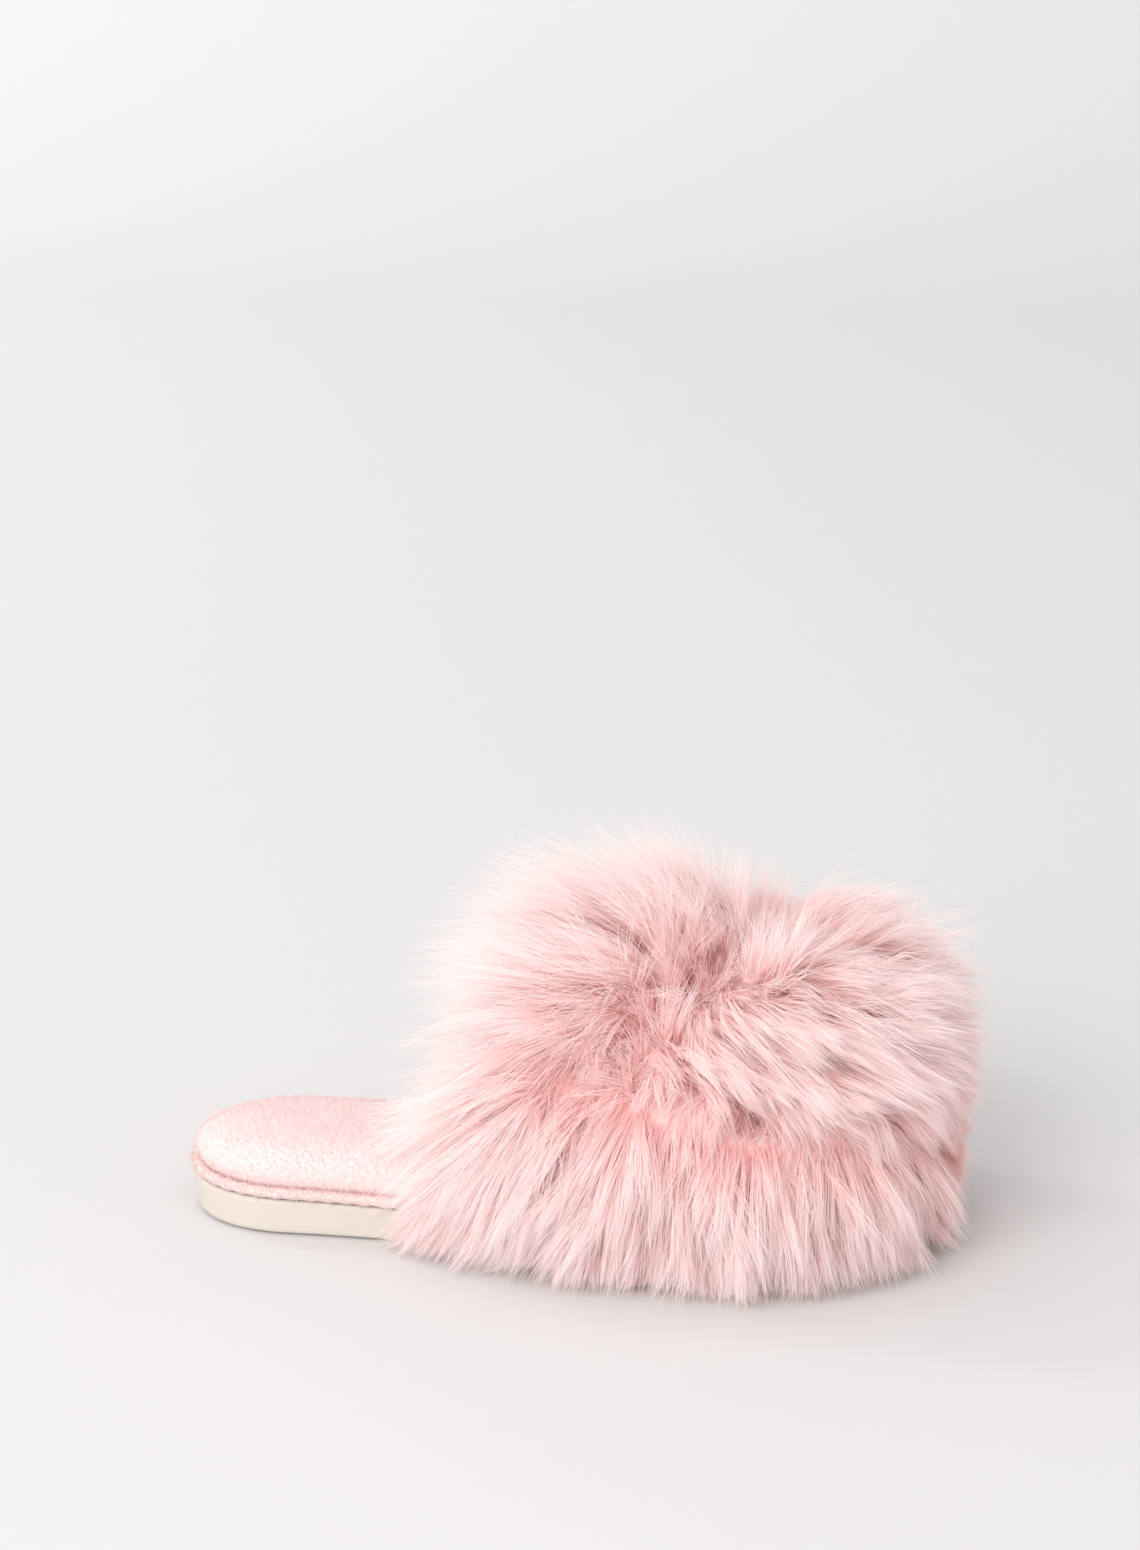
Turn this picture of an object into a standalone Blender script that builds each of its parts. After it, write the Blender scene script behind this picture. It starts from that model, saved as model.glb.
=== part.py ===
"""Faux fur slide slipper for the right foot, at its real size in metres.

+X runs from heel to toe, -Y is the outer (little toe) side and +Z is up.
The origin is on the floor, below the middle of the sole's length.
"""

import math
from collections import namedtuple

import bmesh
import bpy
import numpy as np
from mathutils import Vector

# Driving dimensions
SOLE_LENGTH = 0.250
BALL_WIDTH = 0.089
HEEL_ROUND = 0.036  # length over which the outline closes at the heel
TOE_ROUND = 0.062  # length over which the outline closes at the toe
TOE_SPRING = 0.004
HEEL_LIFT = 0.0006
SPRING_STARTS = 0.80  # share of the length where the tread leaves the floor
HEEL_FLAT_STARTS = 0.05
PIPING_RADIUS = 0.0024
VAMP_WALL = 0.003
COLLAR_BASE_X = -0.036  # rear end of the vamp at the piping
COLLAR_RIDGE_X = 0.016  # rear end of the vamp on top of the instep
RIDGE_INWARD = 0.004  # the ridge leans this far to the big toe's side
GAP = 0.0003  # clearance between touching pieces
FLOOR_CLEARANCE = 0.0016  # fur tips stay this far above the floor
LOCK_LENGTH = 0.036

# Half widths of the sole on its outer and inner side, before the ends are rounded
OutlineRow = namedtuple("OutlineRow", "share outer inner")
OUTLINE = (
    OutlineRow(0.00, 0.0290, 0.0310),
    OutlineRow(0.17, 0.0290, 0.0310),
    OutlineRow(0.42, 0.0345, 0.0315),
    OutlineRow(0.68, 0.0455, 0.0435),
    OutlineRow(0.86, 0.0430, 0.0425),
    OutlineRow(1.00, 0.0360, 0.0375),
)

# Height of the sole's top face over its tread, from heel to toe
ThicknessRow = namedtuple("ThicknessRow", "share thickness")
SOLE_THICKNESS = (
    ThicknessRow(0.00, 0.0138),
    ThicknessRow(0.12, 0.0136),
    ThicknessRow(0.25, 0.0130),
    ThicknessRow(0.45, 0.0116),
    ThicknessRow(0.70, 0.0098),
    ThicknessRow(1.00, 0.0090),
)

# Rings of the outsole: distance in from the outline, share of the thickness, plus a fixed height
SoleRing = namedtuple("SoleRing", "inset share extra")
OUTSOLE_RINGS = (
    SoleRing(0.0026, 0.0, 0.0),
    SoleRing(0.0013, 0.0, 0.0015),
    SoleRing(0.0, 1.0, -0.0010),
    SoleRing(0.0007, 1.0, 0.0),
)

# Rings of the padded footbed: distance in from the outline and height above the sole
FootbedRing = namedtuple("FootbedRing", "inset height")
FOOTBED_RINGS = (
    FootbedRing(0.0036, GAP),
    FootbedRing(0.0036, 0.0044),
    FootbedRing(0.0020, 0.0066),
    FootbedRing(0.0017, 0.0095),
    FootbedRing(0.0024, 0.0130),
    FootbedRing(0.0056, 0.0165),
    FootbedRing(0.0110, 0.0196),
    FootbedRing(0.0190, 0.0214),
    FootbedRing(0.0290, 0.0220),
)
FOOTBED_EDGE = 0.0044  # height of the footbed that stays the same along the foot

# Share of the footbed's full crown, from heel to toe
CrownRow = namedtuple("CrownRow", "share crown")
FOOTBED_CROWN = (
    CrownRow(0.00, 0.86),
    CrownRow(0.20, 0.87),
    CrownRow(0.45, 0.735),
    CrownRow(0.70, 0.43),
    CrownRow(1.00, 0.34),
)

# Ridge of a vamp surface along the foot: its height and the fullness of the arch below it
RidgeRow = namedtuple("RidgeRow", "share height fullness")
VAMP_RIDGE = (
    RidgeRow(0.50, 0.0920, 2.10),
    RidgeRow(0.62, 0.0900, 2.15),
    RidgeRow(0.74, 0.0830, 2.25),
    RidgeRow(0.86, 0.0740, 2.40),
    RidgeRow(1.00, 0.0620, 2.60),
)
FUR_RIDGE = (
    RidgeRow(0.50, 0.1250, 2.40),
    RidgeRow(0.62, 0.1300, 2.45),
    RidgeRow(0.72, 0.1270, 2.55),
    RidgeRow(0.86, 0.1190, 2.65),
    RidgeRow(1.00, 0.1130, 2.70),
)
TOE_CAP_STARTS = 0.060  # where the ridge begins to close over the toe

# A surface of the vamp: its ridge, then its offsets from the sole's outline, and how blunt its toe is
Skin = namedtuple("Skin", "ridge rise out end drop blunt")
VAMP_OUTER = Skin(VAMP_RIDGE, 0.0, PIPING_RADIUS, PIPING_RADIUS, 0.0, 3.0)
VAMP_INNER = Skin(
    VAMP_RIDGE, -VAMP_WALL, PIPING_RADIUS - VAMP_WALL, PIPING_RADIUS - VAMP_WALL, 0.0, 3.0
)
FUR_BACKING = Skin(VAMP_RIDGE, GAP, PIPING_RADIUS + GAP, PIPING_RADIUS + GAP, 0.0, 3.0)
FUR_BODY = Skin(FUR_RIDGE, 0.0, 0.029, 0.016, 0.0100, 3.0)
ROLL_AT_HEM = 0.008  # the rounded rear edge of the fur bulges this far back at the hem
ROLL_ON_SIDE = 0.035  # and this far beside and on top of the instep
ROLL_ANGLES = (160, 130, 95, 60, 28)  # degrees round the rear edge, from the collar outwards

# Partings of the fur, as straight lines on the unrolled side: lift is 0 at the hem and 1 on the ridge
Crease = namedtuple("Crease", "x_from lift_from x_to lift_to width depth")
CREASES = (
    Crease(0.080, 1.00, 0.026, 0.38, 0.011, 0.50),  # across the instep
    Crease(0.026, 0.38, 0.080, 0.26, 0.010, 0.44),  # down the side
    Crease(0.080, 0.26, 0.132, 0.40, 0.009, 0.34),  # and up again to the toe
)
SIDE_ARC = 0.105  # length of the unrolled side from hem to ridge

# How the fur lies in each of its lobes: weights towards the toe, down to the hem and outwards
REAR_TOP = Vector((-0.42, 0.00, 1.00))
REAR_SIDE = Vector((-0.92, 0.00, 0.55))
FRONT_TOP = Vector((0.22, 0.00, 1.00))
FRONT_SIDE = Vector((0.85, 0.10, 0.55))
HEM = Vector((0.00, 0.95, 0.42))
SKIRT_EDGE = 0.07  # share of the side over which the front lobe gives way to the skirt
SKIRT_EDGE_REAR = 0.38  # behind the creases the change is gradual
HEM_FAN = 0.60  # the hem's fur turns this far to the heel and to the toe at its ends
FAN_CENTRE = 0.045
FAN_REACH = 0.085
HEM_TRIM = 1.30  # length of a lock at the hem for each height of its root

# Rows of fur locks on each side, from the hem up
LockRow = namedtuple("LockRow", "lift u_from u_to count radius length")
LOCK_ROWS = (
    LockRow(0.06, 0.02, 0.98, 8, 0.0090, 0.90),
    LockRow(0.17, 0.04, 0.96, 8, 0.0100, 1.10),
    LockRow(0.43, 0.02, 0.92, 8, 0.0100, 1.15),
    LockRow(0.61, 0.04, 0.88, 8, 0.0100, 1.15),
    LockRow(0.79, 0.04, 0.84, 7, 0.0100, 1.10),
)
RIDGE_LOCKS = LockRow(0.97, 0.05, 0.95, 7, 0.0100, 0.90)
REAR_LOCKS = LockRow(0.08, 0.00, 0.00, 9, 0.0090, 0.66)
REAR_LOCK_TURNS = (85, 35)  # degrees round the rear edge where its two rows of locks grow
LOCK_ROOT = 0.62  # depth in the fur body where a lock starts
LOCK_TAPER = (0.45, 1.00, 0.70, 0.07)  # radius along a lock, from root to tip
LOCK_DROOP = 0.42  # how far a lock bends down over its length
TOE_LOCK_SHORTER = 0.50  # share of the length lost by the locks at the toe
CREASE_BARE = 0.62  # no lock grows where less than this share of the depth is left

SOLE_STATIONS = 32
PIPING_POINTS = 48
VAMP_STATIONS = 18

CREAM = (0.90, 0.80, 0.69, 1.0)
PLUSH_PINK = (0.95, 0.78, 0.77, 1.0)
PIPING_PINK = (0.94, 0.70, 0.69, 1.0)
LINING_PINK = (0.90, 0.60, 0.59, 1.0)
FUR_PINK = (0.93, 0.62, 0.61, 1.0)


# Helpers


def clear_scene():
    for obj in list(bpy.data.objects):
        bpy.data.objects.remove(obj)


def new_collection(name):
    collection = bpy.data.collections.new(name)
    bpy.context.scene.collection.children.link(collection)
    return collection


def new_material(name, colour, roughness):
    material = bpy.data.materials.new(name)
    material.use_nodes = True
    shader = material.node_tree.nodes["Principled BSDF"]
    shader.inputs["Base Color"].default_value = colour
    shader.inputs["Roughness"].default_value = roughness
    shader.inputs["Metallic"].default_value = 0.0
    return material


def table_value(rows, column, share):
    """A smooth curve through one column of a table, read at a share of the length."""
    at = [row[0] for row in rows]
    values = [getattr(row, column) for row in rows]
    slopes = np.gradient(values, at)
    share = min(max(share, at[0]), at[-1])
    i = min(np.searchsorted(at, share, side="right"), len(at) - 1) - 1
    span = at[i + 1] - at[i]
    t = (share - at[i]) / span
    start = (1 + 2 * t) * (1 - t) ** 2 * values[i] + t * (1 - t) ** 2 * span * slopes[i]
    end = t * t * (3 - 2 * t) * values[i + 1] - t * t * (1 - t) * span * slopes[i + 1]
    return float(start + end)


def smooth_step(value, low, high):
    t = min(max((value - low) / (high - low), 0.0), 1.0)
    return t * t * (3 - 2 * t)


def blend(a, b, t):
    return a + (b - a) * t


def rounding(distance, length, fullness):
    """1 in the open stretch, falling to 0 at an end, as a superellipse."""
    t = min(max(1 - distance / length, 0.0), 1.0)
    return (1 - t**fullness) ** (1 / fullness)


def link_mesh(name, mesh, material, collection, parent=None):
    obj = bpy.data.objects.new(name, mesh)
    obj.data.materials.append(material)
    obj.parent = parent
    collection.objects.link(obj)
    return obj


def finish_mesh(name, bm):
    """Welds a hand-built surface, turns its faces outwards and makes it a mesh."""
    bmesh.ops.remove_doubles(bm, verts=bm.verts, dist=1e-6)
    bmesh.ops.recalc_face_normals(bm, faces=bm.faces)
    mesh = bpy.data.meshes.new(name)
    bm.to_mesh(mesh)
    bm.free()
    mesh.shade_smooth()
    mesh.set_sharp_from_angle(angle=math.radians(50))
    return mesh


def loft(name, sections):
    """A closed solid through closed sections; the first and last have shrunk to a line."""
    bm = bmesh.new()
    rings = [[bm.verts.new(point) for point in section] for section in sections]
    count = len(rings[0])
    for low, high in zip(rings, rings[1:]):
        for i in range(count):
            j = (i + 1) % count
            bm.faces.new((low[i], low[j], high[j], high[i]))
    return finish_mesh(name, bm)


def shell(name, outer, inner):
    """A closed wall between two grids of points, open along the first row and both edge columns."""
    bm = bmesh.new()
    out = [[bm.verts.new(point) for point in row] for row in outer]
    inn = [[bm.verts.new(point) for point in row] for row in inner]
    last = len(out[0]) - 1
    for grid in (out, inn):
        for low, high in zip(grid, grid[1:]):
            for j in range(last):
                bm.faces.new((low[j], low[j + 1], high[j + 1]))
                bm.faces.new((low[j], high[j + 1], high[j]))
    for i in range(len(out) - 1):
        for j in (0, last):
            bm.faces.new((out[i][j], out[i + 1][j], inn[i + 1][j], inn[i][j]))
    for j in range(last):
        bm.faces.new((out[0][j], inn[0][j], inn[0][j + 1], out[0][j + 1]))
    return finish_mesh(name, bm)


# The sole's outline and heights


def half_width(share, side):
    """Half width of the outline; side is -1 for the outer edge and 1 for the inner edge."""
    column = "outer" if side < 0 else "inner"
    along = share * SOLE_LENGTH
    heel = rounding(along, HEEL_ROUND, 2.0)
    toe = rounding(SOLE_LENGTH - along, TOE_ROUND, 2.3)
    return table_value(OUTLINE, column, share) * heel * toe


def outline_point(share, side, out, end):
    """A point of the outline, moved out sideways and past its ends."""
    x = (share - 0.5) * SOLE_LENGTH * (1 + end / (SOLE_LENGTH / 2))
    y = side * half_width(share, side) * (1 + out / (BALL_WIDTH / 2))
    return x, y


def sole_bottom(share):
    toe = max(share - SPRING_STARTS, 0.0) / (1 - SPRING_STARTS)
    heel = max(HEEL_FLAT_STARTS - share, 0.0) / HEEL_FLAT_STARTS
    return TOE_SPRING * toe**2 + HEEL_LIFT * heel**2


def sole_top(share):
    return sole_bottom(share) + table_value(SOLE_THICKNESS, "thickness", share)


def stations(count):
    """Shares of the length, closer together at the rounded ends."""
    return [(1 - math.cos(math.pi * i / count)) / 2 for i in range(count + 1)]


def stacked_section(share, rings):
    """One section through a stack of rings, each given as its inset and its height."""
    outer = [(*outline_point(share, -1, -inset, -inset), z) for inset, z in rings]
    inner = [(*outline_point(share, 1, -inset, -inset), z) for inset, z in rings]
    return outer + inner[::-1]


# Outsole: one moulded cream unit, thicker at the heel, with a bevelled tread edge


def outsole_mesh():
    sections = []
    for share in stations(SOLE_STATIONS):
        low = sole_bottom(share)
        thick = sole_top(share) - low
        rings = [(r.inset, low + r.share * thick + r.extra) for r in OUTSOLE_RINGS]
        sections.append(stacked_section(share, rings))
    return loft("outsole", sections)


# Footbed: a padded pillow covered in plush, lying inside the piping


def footbed_height(ring, share):
    rise = max(ring.height - FOOTBED_EDGE, 0.0)
    crown = table_value(FOOTBED_CROWN, "crown", share)
    return sole_top(share) + min(ring.height, FOOTBED_EDGE) + rise * crown


def footbed_mesh():
    sections = []
    for share in stations(SOLE_STATIONS):
        rings = [(r.inset, footbed_height(r, share)) for r in FOOTBED_RINGS]
        sections.append(stacked_section(share, rings))
    return loft("footbed", sections)


# Piping: a plush-covered cord laid on the sole's rim, all the way round


def piping_curve():
    curve = bpy.data.curves.new("piping", "CURVE")
    curve.dimensions = "3D"
    curve.bevel_depth = PIPING_RADIUS
    curve.bevel_resolution = 1
    half = PIPING_POINTS // 2
    shares = stations(half)
    route = [(share, -1) for share in shares] + [(share, 1) for share in shares[-2:0:-1]]
    spline = curve.splines.new("POLY")
    spline.points.add(len(route) - 1)
    for point, (share, side) in zip(spline.points, route):
        x, y = outline_point(share, side, 0.0, 0.0)
        point.co = (x, y, sole_top(share) + PIPING_RADIUS + GAP, 1.0)
    spline.use_cyclic_u = True
    return curve


# Vamp: a hollow last-shaped wall over the forefoot, open at the collar and underneath


def vamp_base(share):
    return sole_top(share) + 2 * PIPING_RADIUS + 2 * GAP


def ridge_height(share, skin):
    x = (share - 0.5) * SOLE_LENGTH
    cap = SOLE_LENGTH / 2 - TOE_CAP_STARTS
    closing = rounding(SOLE_LENGTH / 2 - x, cap, skin.blunt)
    top = table_value(skin.ridge, "height", share) + skin.rise
    return blend(vamp_base(share), top, closing)


def vamp_point(u, angle, skin):
    """A point of a vamp surface: u runs from collar to toe, angle from the outer hem over the ridge."""
    along = math.sin(u * math.pi / 2)
    base_share = blend(COLLAR_BASE_X / SOLE_LENGTH + 0.5, 1.0, along)
    ridge_share = blend(COLLAR_RIDGE_X / SOLE_LENGTH + 0.5, 1.0, along)
    side = -1 if angle < math.pi / 2 else 1
    power = 2 / table_value(skin.ridge, "fullness", ridge_share)
    across = abs(math.cos(angle)) ** power
    lift = math.sin(angle) ** power
    base_x, base_y = outline_point(base_share, side, skin.out, skin.end)
    ridge_x, _ = outline_point(ridge_share, side, skin.out, skin.end)
    lean = RIDGE_INWARD * rounding(1 - along, 1.0, 2.0) * lift
    low = vamp_base(base_share) - skin.drop
    high = ridge_height(ridge_share, skin)
    x = blend(base_x, ridge_x, lift**1.3)
    return Vector((x, base_y * across + lean, blend(low, high, lift)))


def steps(count, end):
    return [end * i / count for i in range(count + 1)]


def vamp_grid(skin):
    arch = steps(VAMP_STATIONS, math.pi)
    return [[vamp_point(u, angle, skin) for angle in arch] for u in steps(VAMP_STATIONS, 1.0)]


def vamp_mesh():
    return shell("vamp", vamp_grid(VAMP_OUTER), vamp_grid(VAMP_INNER))


# Fur: a deep body over the vamp, parted by creases, with locks fused onto it


def lift_of(angle):
    return 1 - abs(angle - math.pi / 2) / (math.pi / 2)


def crease_depth(x, lift):
    """Share of the fur's depth that is left at a place on the unrolled side."""
    place = Vector((x, lift * SIDE_ARC))
    left = 1.0
    for crease in CREASES:
        start = Vector((crease.x_from, crease.lift_from * SIDE_ARC))
        run = Vector((crease.x_to, crease.lift_to * SIDE_ARC)) - start
        t = min(max((place - start).dot(run) / run.length_squared, 0.0), 1.0)
        away = (place - start - run * t).length
        left -= crease.depth * math.exp(-((away / crease.width) ** 2))
    return max(left, 0.3)


def fur_point(u, angle, depth):
    """A place in the fur: depth is 0 on the backing and 1 on the body's surface."""
    backing = vamp_point(u, angle, FUR_BACKING)
    body = vamp_point(u, angle, FUR_BODY)
    return backing.lerp(body, depth * crease_depth(body.x, lift_of(angle)))


def fur_rear_edge(angle, turn):
    """The rounded rear edge of the body: turn is 0 on top and 180 degrees at the collar."""
    roll = blend(ROLL_AT_HEM, ROLL_ON_SIDE, smooth_step(lift_of(angle), 0.0, 0.5))
    back = Vector((-roll * math.sin(turn), 0, 0))
    return fur_point(0.0, angle, (1 + math.cos(turn)) / 2) + back


def fur_frame(u, angle):
    """Directions on the fur's surface: towards the toe, down to the hem, and outwards."""
    step = 0.01
    low = max(u - step, 0.0)
    rear, ahead = vamp_point(low, angle, FUR_BODY), vamp_point(low + step, angle, FUR_BODY)
    turn = step if angle < math.pi / 2 else -step
    here, above = vamp_point(u, angle, FUR_BODY), vamp_point(u, angle + turn, FUR_BODY)
    toe, down = (ahead - rear).normalized(), (here - above).normalized()
    out = down.cross(toe) if angle < math.pi / 2 else toe.cross(down)
    return toe, down, out.normalized()


def lobes(x, lift):
    """How far a place belongs to the front lobe and to the skirt, each from 0 to 1."""
    across, side, toe = CREASES
    parting_x = blend(across.x_to, across.x_from, (lift - across.lift_to) / (1 - across.lift_to))
    side_x, side_lift = (side.x_from, side.x_to, toe.x_to), (side.lift_from, side.lift_to, toe.lift_to)
    parting_lift = float(np.interp(x, side_x, side_lift))
    front = smooth_step(x - parting_x, -0.006, 0.006)
    soft = blend(SKIRT_EDGE, SKIRT_EDGE_REAR, smooth_step(across.x_to - x, -0.010, 0.030))
    skirt = 1 - smooth_step((lift - parting_lift) / soft, -1.0, 0.8)
    return front, skirt


def fur_flow(x, lift):
    """How far the fur lies to the toe, down and out at a place, as three weights."""
    front, skirt = lobes(x, lift)
    top = smooth_step(lift, 0.45, 0.95)
    flow = REAR_SIDE.lerp(REAR_TOP, top).lerp(FRONT_SIDE.lerp(FRONT_TOP, top), front)
    fan = min(max((x - FAN_CENTRE) / FAN_REACH, -1.0), 1.0)
    return flow.lerp(HEM + Vector((HEM_FAN * fan, 0, 0)), skirt)


def lock_path(root, heading, radius, length):
    pieces = len(LOCK_TAPER) - 1
    path = [root]
    for i in range(1, pieces + 1):
        bent = heading + Vector((0, 0, -LOCK_DROOP * i / pieces))
        point = path[-1] + bent.normalized() * (length / pieces)
        lowest = FLOOR_CLEARANCE + radius * LOCK_TAPER[i]
        point.z = max(point.z, lowest)
        path.append(point)
    return path


def surface_lock(u, angle, row):
    toe, down, out = fur_frame(u, angle)
    root = fur_point(u, angle, LOCK_ROOT)
    flow = fur_flow(root.x, lift_of(angle))
    heading = (toe * flow.x + down * flow.y + out * flow.z).normalized()
    length = row.length * LOCK_LENGTH * (1 - TOE_LOCK_SHORTER * smooth_step(u, 0.50, 0.95))
    length *= crease_depth(root.x, lift_of(angle))
    _, skirt = lobes(root.x, lift_of(angle))
    trimmed = min(length, HEM_TRIM * root.z)
    return lock_path(root, heading, row.radius, blend(length, trimmed, skirt))


def rear_lock(angle, turn, row):
    _, down, out = fur_frame(0.0, angle)
    back = Vector((-1, 0, 0))
    face = (back * math.sin(turn) + out * math.cos(turn)).normalized()
    root = fur_rear_edge(angle, turn) - face * row.radius
    heading = (back * 0.9 + out * 0.45 + down * 0.25).normalized()
    return lock_path(root, heading, row.radius, row.length * LOCK_LENGTH)


def lock_places():
    """Where the locks of each row grow: u along the foot and the angle over it."""
    for number, row in enumerate(LOCK_ROWS):
        for i in range(row.count):
            u = blend(row.u_from, row.u_to, (i + 0.5 * (number % 2)) / row.count)
            angle = row.lift * math.pi / 2
            yield row, u, angle
            yield row, u, math.pi - angle
    for i in range(RIDGE_LOCKS.count):
        u = blend(RIDGE_LOCKS.u_from, RIDGE_LOCKS.u_to, i / RIDGE_LOCKS.count)
        yield RIDGE_LOCKS, u, RIDGE_LOCKS.lift * math.pi / 2


def lock_paths():
    """Every lock of the fur, as its row and its path; none grows in a crease."""
    for row, u, angle in lock_places():
        x = vamp_point(u, angle, FUR_BODY).x
        if crease_depth(x, lift_of(angle)) > CREASE_BARE:
            yield row, surface_lock(u, angle, row)
    first = REAR_LOCKS.lift * math.pi / 2
    for number, turn in enumerate(REAR_LOCK_TURNS):
        for i in range(REAR_LOCKS.count - number):
            angle = blend(first, math.pi - first, (i + 0.5 * number) / (REAR_LOCKS.count - 1))
            yield REAR_LOCKS, rear_lock(angle, math.radians(turn), REAR_LOCKS)


def locks_curve():
    curve = bpy.data.curves.new("fur_locks", "CURVE")
    curve.dimensions = "3D"
    curve.bevel_depth = 1.0
    curve.bevel_resolution = 1
    curve.use_fill_caps = True
    for row, path in lock_paths():
        spline = curve.splines.new("POLY")
        spline.points.add(len(path) - 1)
        for point, place, taper in zip(spline.points, path, LOCK_TAPER):
            point.co = (*place, 1.0)
            point.radius = row.radius * taper
    return curve


def as_mesh_object(curve, collection):
    """A curve's tubes as a mesh helper, with their caps welded on."""
    source = bpy.data.objects.new(curve.name, curve)
    collection.objects.link(source)
    graph = bpy.context.evaluated_depsgraph_get()
    mesh = bpy.data.meshes.new_from_object(source.evaluated_get(graph))
    bm = bmesh.new()
    bm.from_mesh(mesh)
    bmesh.ops.remove_doubles(bm, verts=bm.verts, dist=1e-6)
    bmesh.ops.recalc_face_normals(bm, faces=bm.faces)
    bm.to_mesh(mesh)
    bm.free()
    helper = bpy.data.objects.new(curve.name + "_mesh", mesh)
    helper.matrix_world = source.matrix_world
    collection.objects.link(helper)
    bpy.data.objects.remove(source)
    helper.hide_render = True
    helper.display_type = "WIRE"
    return helper


def fur_body_mesh():
    arch = steps(VAMP_STATIONS, math.pi)
    turns = [math.radians(degrees) for degrees in ROLL_ANGLES]
    roll = [[fur_rear_edge(angle, turn) for angle in arch] for turn in turns]
    body = [[fur_point(u, angle, 1.0) for angle in arch] for u in steps(VAMP_STATIONS, 1.0)]
    backing = vamp_grid(FUR_BACKING)
    return shell("fur", roll + body, backing[:1] * len(roll) + backing)


def fuse_locks(fur, locks):
    """Joins the locks to the fur's body and keeps the outer skin of the result."""
    fuse = fur.modifiers.new("locks", "BOOLEAN")
    fuse.operation = "UNION"
    fuse.solver = "EXACT"
    fuse.use_self = True
    fuse.object = locks
    graph = bpy.context.evaluated_depsgraph_get()
    bm = bmesh.new()
    bm.from_object(fur, graph)
    fur.modifiers.remove(fuse)
    bmesh.ops.triangulate(bm, faces=bm.faces)
    skin = largest_island(bm)
    bmesh.ops.delete(bm, geom=[f for f in bm.faces if f not in skin], context="FACES")
    bm.to_mesh(fur.data)
    bm.free()


def largest_island(bm):
    """The faces of the largest surface, walked over edges that join two faces."""
    waiting = set(bm.faces)
    largest = set()
    while waiting:
        front = [waiting.pop()]
        island = set(front)
        while front:
            edges = [e for e in front.pop().edges if len(e.link_faces) == 2]
            fresh = {f for e in edges for f in e.link_faces} - island
            island |= fresh
            front.extend(fresh)
        waiting -= island
        largest = max(largest, island, key=len)
    return largest


def main():
    clear_scene()
    parts = new_collection("faux_fur_slipper")
    helpers = new_collection("helpers")
    slipper = bpy.data.objects.new("slipper", None)
    parts.objects.link(slipper)

    cream = new_material("cream_sole", CREAM, 0.55)
    plush = new_material("pink_plush", PLUSH_PINK, 0.95)
    cord = new_material("piping_plush", PIPING_PINK, 0.95)
    lining = new_material("pink_lining", LINING_PINK, 0.95)
    pile = new_material("pink_fur", FUR_PINK, 0.85)

    link_mesh("outsole", outsole_mesh(), cream, parts, slipper)
    link_mesh("footbed", footbed_mesh(), plush, parts, slipper)
    link_mesh("piping", piping_curve(), cord, parts, slipper)
    link_mesh("vamp", vamp_mesh(), lining, parts, slipper)
    fur = link_mesh("fur", fur_body_mesh(), pile, parts, slipper)
    fuse_locks(fur, as_mesh_object(locks_curve(), helpers))


main()
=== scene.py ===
"""Faux fur slide slipper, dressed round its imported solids.

Metres; +X from heel to toe, -Y the outer side that the photo shows, +Z up.
"""

import math

import bpy
import numpy as np
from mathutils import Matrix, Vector
from mathutils.kdtree import KDTree


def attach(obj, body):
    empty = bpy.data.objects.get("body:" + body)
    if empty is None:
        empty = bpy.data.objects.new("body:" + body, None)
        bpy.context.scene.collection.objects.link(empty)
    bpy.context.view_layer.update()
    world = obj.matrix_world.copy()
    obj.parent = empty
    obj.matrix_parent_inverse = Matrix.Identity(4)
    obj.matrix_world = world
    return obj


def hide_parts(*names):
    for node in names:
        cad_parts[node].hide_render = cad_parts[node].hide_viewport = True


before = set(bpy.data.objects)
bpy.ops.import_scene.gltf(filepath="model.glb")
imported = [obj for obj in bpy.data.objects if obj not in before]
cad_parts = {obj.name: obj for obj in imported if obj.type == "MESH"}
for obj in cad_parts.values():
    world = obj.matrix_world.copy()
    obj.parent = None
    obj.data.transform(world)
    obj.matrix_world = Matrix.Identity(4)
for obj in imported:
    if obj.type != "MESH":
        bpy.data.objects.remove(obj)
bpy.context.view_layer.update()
rng = np.random.default_rng(11)


# Outsole
# One moulded cream unit: a plain side wall leaning in towards the floor, a bevelled
# tread edge that keeps a thin shadow line, and shallow ribs across the tread.
SOLE_LENGTH = 0.250
BALL_WIDTH = 0.089
HEEL_ROUND = 0.036
HEEL_FULLNESS = 2.0
TOE_ROUND = 0.062
TOE_FULLNESS = 2.3
TOE_SPRING = 0.004
HEEL_LIFT = 0.0006
SPRING_STARTS = 0.80
HEEL_FLAT_STARTS = 0.05
# share of the length, half width on the outer side, half width on the inner side
OUTLINE = np.array(
    (
        (0.00, 0.0290, 0.0310),
        (0.17, 0.0290, 0.0310),
        (0.42, 0.0345, 0.0315),
        (0.68, 0.0455, 0.0435),
        (0.86, 0.0430, 0.0425),
        (1.00, 0.0360, 0.0375),
    )
)
# share of the length, thickness
SOLE_THICKNESS = np.array(
    ((0.00, 0.0138), (0.12, 0.0136), (0.25, 0.0130), (0.45, 0.0116), (0.70, 0.0098), (1.00, 0.0090))
)


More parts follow.
